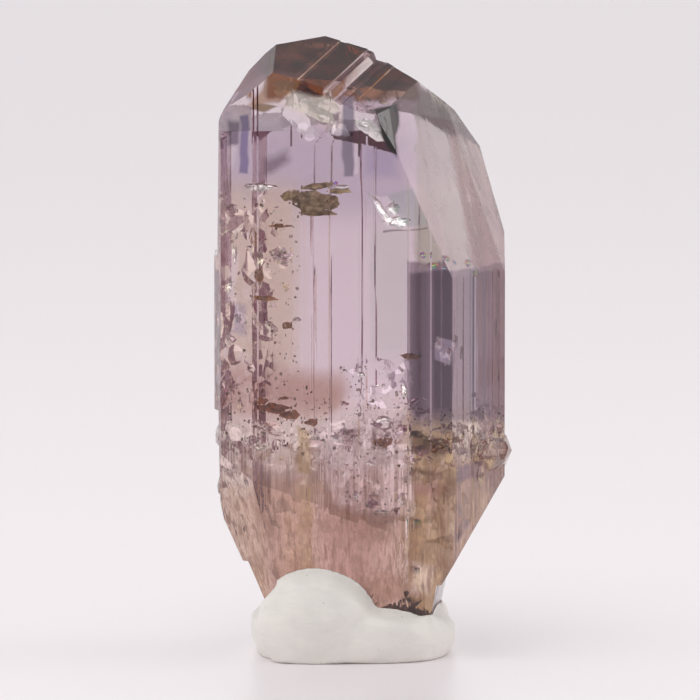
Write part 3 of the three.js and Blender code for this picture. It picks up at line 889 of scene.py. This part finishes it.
def chip_tree(material):
    """Geometry nodes that put a small flat five-sided chip on every point, turned and sized at random."""
    tree = bpy.data.node_groups.new("Strewn chips", "GeometryNodeTree")
    face = tree.interface
    face.new_socket("Points", in_out="INPUT", socket_type="NodeSocketGeometry")
    for title, kind in (("Smallest", "Float"), ("Largest", "Float"), ("Seed", "Int")):
        face.new_socket(title, in_out="INPUT", socket_type="NodeSocket" + kind)
    face.new_socket("Chips", in_out="OUTPUT", socket_type="NodeSocketGeometry")

    def put(kind, inputs, **settings):
        return add_step(tree, kind, inputs, settings).outputs

    given = tree.nodes.new("NodeGroupInput").outputs
    chip = put("GeometryNodeMeshCylinder", {"Vertices": 5, "Radius": 1.0, "Depth": 0.35})
    turns = {1: (FULL_TURN,) * 3, "Seed": given["Seed"]}
    turn = put("FunctionNodeRandomValue", turns, data_type="FLOAT_VECTOR")
    sizes = {2: given["Smallest"], 3: given["Largest"], "Seed": given["Seed"]}
    size = put("FunctionNodeRandomValue", sizes, data_type="FLOAT")
    placing = {"Points": given["Points"], "Instance": chip["Mesh"], "Rotation": turn[0], "Scale": size[1]}
    strewn = put("GeometryNodeInstanceOnPoints", placing)
    real = put("GeometryNodeRealizeInstances", {"Geometry": strewn[0]})
    dressed = put("GeometryNodeSetMaterial", {"Geometry": real[0], "Material": material})
    put("NodeGroupOutput", {0: dressed[0]})
    return tree


def grain_piece(name, material, inside, sizes, seed):
    """The strewn chips of one kind, as a plain mesh."""
    bm = bmesh.new()
    for point in strewn_points(GRAINS[name], inside, seed):
        bm.verts.new(point)
    seedbed = new_piece(name + "_points", bm, material)
    tree = chip_tree(material)
    strew = seedbed.modifiers.new("Strewn chips", "NODES")
    strew.node_group = tree
    values = {"Smallest": sizes[0] * MM, "Largest": sizes[1] * MM, "Seed": seed}
    for item in tree.interface.items_tree:
        if item.name in values:
            strew[item.identifier] = values[item.name]
    evaluated = seedbed.evaluated_get(bpy.context.evaluated_depsgraph_get())
    mesh = bpy.data.meshes.new_from_object(evaluated)
    bpy.data.objects.remove(seedbed)
    piece = bpy.data.objects.new(name, mesh)
    bpy.context.scene.collection.objects.link(piece)
    return piece


PUTTY_MESH_SIZE = 0.11  # millimetres between the putty's points
POCKET_REACH = 0.9  # how near to the crystal, in millimetres, the putty is pulled up against it
POCKET_FULL = 0.5  # and how near it is pulled all the way
POCKET_GAP = 0.02  # what is then left between the two
FLAT_BELOW = 0.1  # height in millimetres under which the putty isn't dented
DENTS = ((2.2, 1.7), (0.5, 0.6))  # depth, in dent settings, and width in millimetres of broad and fine dents


def remesh_finely(piece):
    """Gives a piece an even, fine mesh of the same shape."""
    remesh = piece.modifiers.new("Fine mesh", "REMESH")
    remesh.mode = "VOXEL"
    remesh.voxel_size = PUTTY_MESH_SIZE * MM
    evaluated = piece.evaluated_get(bpy.context.evaluated_depsgraph_get())
    mesh = bpy.data.meshes.new_from_object(evaluated)
    piece.modifiers.clear()
    piece.data = mesh


def press_putty(piece, inside, dent):
    """Presses the putty's socket up to the crystal and dents its skin, within the CAD box."""
    material = piece.data.materials[0]
    remesh_finely(piece)
    mesh = piece.data
    bm = bmesh.new()
    bm.from_mesh(mesh)
    for _ in range(2):
        axes = {"use_axis_x": True, "use_axis_y": True, "use_axis_z": True}
        bmesh.ops.smooth_vert(bm, verts=bm.verts, factor=0.5, **axes)
    bm.normal_update()
    for v in bm.verts:
        near, normal, _, distance = inside.tree.find_nearest(v.co)
        pull = min(1.0, max(0.0, (POCKET_REACH * MM - distance) / ((POCKET_REACH - POCKET_FULL) * MM)))
        if v.co.z > FLAT_BELOW * MM:
            lump = sum(depth * noise.noise(v.co / (width * MM)) for depth, width in DENTS)
            v.co += v.normal * dent * lump * (1 - pull)
        v.co = v.co.lerp(near + normal * POCKET_GAP * MM, pull)
        for axis in range(3):
            v.co[axis] = min(max(v.co[axis], PUTTY_LOW[axis]), PUTTY_HIGH[axis])
    bm.to_mesh(mesh)
    bm.free()
    mesh.materials.clear()
    mesh.materials.append(material)
    mesh.shade_smooth()


# The operators


class CRYSTAL_OT_crystal(bpy.types.Operator):
    """Dresses the crystal"""

    bl_idname = "crystal.crystal"
    bl_label = "Crystal"

    def execute(self, context):
        settings = context.scene.crystal_settings
        bm = merged_copy(CRYSTAL_NODE)
        count = open_cracks(bm, Inside())
        self.report({"INFO"}, f"{count} cracks")
        piece = new_piece("crystal", bm, crystal_material(settings))
        piece.data.shade_flat()
        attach(piece, "root")
        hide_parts(CRYSTAL_NODE)
        return {"FINISHED"}


class CRYSTAL_OT_stains(bpy.types.Operator):
    """Adds the stained plates in the closed cracks"""

    bl_idname = "crystal.stains"
    bl_label = "Stained cracks"

    def execute(self, context):
        inside = Inside()
        glints, rainbows = (
            [{**aimed_at_lamp(plate["centre"], inside, context), **plate} for plate in plates]
            for plates in (GLINTS, RAINBOWS)
        )
        rust = grain_material("Rust", (0.86, 0.42, 0.27), 0.4, spread=0.45, metallic=0.3)
        for name, plates, material, swell in (
            ("olive_fracture", STAINED_PLATES["olive_fracture"], fracture_material(), SWELL),
            ("silver_glints", glints, glint_material(), GLINT_SWELL),
            ("rainbow_cracks", rainbows, rainbow_material(), GLINT_SWELL),
            ("rust_stains", STAINED_PLATES["rust_stains"], rust, SWELL),
        ):
            piece = plate_piece(name, plates, material, inside, swell)
            piece.data.shade_flat()
            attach(piece, "root")
        return {"FINISHED"}


class CRYSTAL_OT_grains(bpy.types.Operator):
    """Strews the pale and brown grains of the healed breaks"""

    bl_idname = "crystal.grains"
    bl_label = "Grains"

    def execute(self, context):
        inside = Inside()
        silver = grain_material("Silvery grains", (1.0, 0.98, 0.95), 0.25, spread=0.08, metallic=0.9)
        brown = grain_material("Brown grains", (0.30, 0.17, 0.09), 0.45)
        for name, material, sizes, seed in (
            ("white_grains", silver, (0.025, 0.09), 5),
            ("brown_grains", brown, (0.02, 0.07), 6),
        ):
            piece = grain_piece(name, material, inside, sizes, seed)
            piece.data.shade_flat()
            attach(piece, "root")
        return {"FINISHED"}


class CRYSTAL_OT_putty(bpy.types.Operator):
    """Presses the putty up against the crystal's foot"""

    bl_idname = "crystal.putty"
    bl_label = "Putty"

    def execute(self, context):
        settings = context.scene.putty_settings
        piece = new_piece("putty", merged_copy(PUTTY_NODE), putty_material(settings))
        press_putty(piece, Inside(), settings.grain)
        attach(piece, "root")
        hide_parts(PUTTY_NODE)
        return {"FINISHED"}


TABLE_REACH = 3.0  # metres from the middle of the table top to its edge
SENSOR_WIDTH = 36  # millimetres
BOUNCES = 14
GLOSSY_BOUNCES = 10


class CRYSTAL_OT_studio(bpy.types.Operator):
    """Sets up the table top, the light and the camera"""

    bl_idname = "crystal.studio"
    bl_label = "Studio"

    def execute(self, context):
        settings = context.scene.studio_settings
        bm = bmesh.new()
        bmesh.ops.create_grid(bm, x_segments=1, y_segments=1, size=TABLE_REACH)
        floor = new_piece("table_top", bm, floor_material(settings))
        make_camera(settings)
        make_world(context.scene)
        make_lights()
        context.scene.view_settings.view_transform = "Standard"
        context.scene.cycles.max_bounces = BOUNCES
        context.scene.cycles.transmission_bounces = BOUNCES
        context.scene.cycles.glossy_bounces = GLOSSY_BOUNCES
        return {"FINISHED"}


def make_camera(settings):
    """A camera with a long lens, aimed at the middle of the crystal."""
    place, back = camera_place(settings)
    data = bpy.data.cameras.new("Camera")
    data.sensor_width = SENSOR_WIDTH
    data.lens = settings.distance * SENSOR_WIDTH / settings.frame_width
    data.clip_start = 0.01
    camera = bpy.data.objects.new("Camera", data)
    camera.location = place
    camera.rotation_mode = "QUATERNION"
    camera.rotation_quaternion = (-back).to_track_quat("-Z", "Y")
    bpy.context.scene.collection.objects.link(camera)
    bpy.context.scene.camera = camera


TENT = (1.20, 1.16, 1.19, 1)
TENT_FRONT = 0.30  # share of the tent's light that comes from the camera's side
OVERHEAD = (0.62, 0.59, 0.60, 1)
BACKDROP_FOOT = (0.86, 0.80, 0.81, 1)
BACKDROP = (0.82, 0.775, 0.81, 1)


def make_world(scene):
    """A white tent, darker overhead and on the camera's side. The camera itself sees a pale backdrop."""
    world = bpy.data.worlds.new("White tent")
    world.use_nodes = True
    scene.world = world
    tree = world.node_tree
    tree.nodes.clear()

    def put(kind, inputs, **settings):
        return add_step(tree, "ShaderNode" + kind, inputs, settings).outputs

    def rise(value, low, high, start=0.0, end=1.0):
        inputs = {"Value": value, "From Min": low, "From Max": high, "To Min": start, "To Max": end}
        return put("MapRange", inputs)[0]

    def mix(amount, a, b):
        return put("Mix", {"Factor": amount, 6: a, 7: b}, data_type="RGBA")[2]

    _, y, z = put("SeparateXYZ", {0: put("TexCoord", {})["Generated"]})
    tent = mix(rise(y, -0.9, 0.0, start=TENT_FRONT), (0.0, 0.0, 0.0, 1), TENT)
    tent = mix(rise(z, 0.30, 0.60), tent, OVERHEAD)
    shown = mix(rise(z, -0.08, 0.05), BACKDROP_FOOT, BACKDROP)
    colour = mix(put("LightPath", {})["Is Camera Ray"], tent, shown)
    light = put("Background", {"Color": colour, "Strength": 1.0})[0]
    put("OutputWorld", {"Surface": light})


# Soft boxes: name, place and size in metres, and power in watts
SOFT_BOXES = (
    ("Top soft box", TOP_LAMP, 0.14, 0.11),
    ("Left soft box", (-0.22, -0.04, 0.15), 0.10, 0.06),
    ("Right soft box", (0.22, 0.0, 0.15), 0.10, 0.06),
)
LIT_SPOT = Vector((0, 0, 0.01))


def make_lights():
    """A soft box overhead and one at each side, which the camera doesn't see."""
    for name, place, size, power in SOFT_BOXES:
        data = bpy.data.lights.new(name, "AREA")
        data.size = size
        data.energy = power
        lamp = bpy.data.objects.new(name, data)
        lamp.location = place
        lamp.rotation_mode = "QUATERNION"
        lamp.rotation_quaternion = (LIT_SPOT - Vector(place)).to_track_quat("-Z", "Y")
        lamp.visible_camera = False
        bpy.context.scene.collection.objects.link(lamp)


class CRYSTAL_PT_panel(bpy.types.Panel):
    """Lists the steps in the 3D view's sidebar"""

    bl_label = "Crystal"
    bl_idname = "CRYSTAL_PT_panel"
    bl_space_type = "VIEW_3D"
    bl_region_type = "UI"
    bl_category = "Crystal"

    def draw(self, context):
        for operator in OPERATORS:
            self.layout.operator(operator.bl_idname)
        for group in SETTINGS:
            settings = getattr(context.scene, group)
            for key in settings.bl_rna.properties.keys():
                if key not in ("rna_type", "name"):
                    self.layout.prop(settings, key)


OPERATORS = (CRYSTAL_OT_crystal, CRYSTAL_OT_stains, CRYSTAL_OT_grains, CRYSTAL_OT_putty, CRYSTAL_OT_studio)
SETTINGS = {
    "crystal_settings": CrystalSettings,
    "putty_settings": PuttySettings,
    "studio_settings": StudioSettings,
}


def register():
    for group in SETTINGS.values():
        bpy.utils.register_class(group)
    for operator in OPERATORS:
        bpy.utils.register_class(operator)
    bpy.utils.register_class(CRYSTAL_PT_panel)
    for name, group in SETTINGS.items():
        setattr(bpy.types.Scene, name, bpy.props.PointerProperty(type=group))


def unregister():
    for name in SETTINGS:
        delattr(bpy.types.Scene, name)
    bpy.utils.unregister_class(CRYSTAL_PT_panel)
    for operator in reversed(OPERATORS):
        bpy.utils.unregister_class(operator)
    for group in reversed(list(SETTINGS.values())):
        bpy.utils.unregister_class(group)


def main():
    register()
    bpy.ops.crystal.crystal()
    bpy.ops.crystal.stains()
    bpy.ops.crystal.grains()
    bpy.ops.crystal.putty()
    bpy.ops.crystal.studio()


if __name__ == "__main__":
    main()
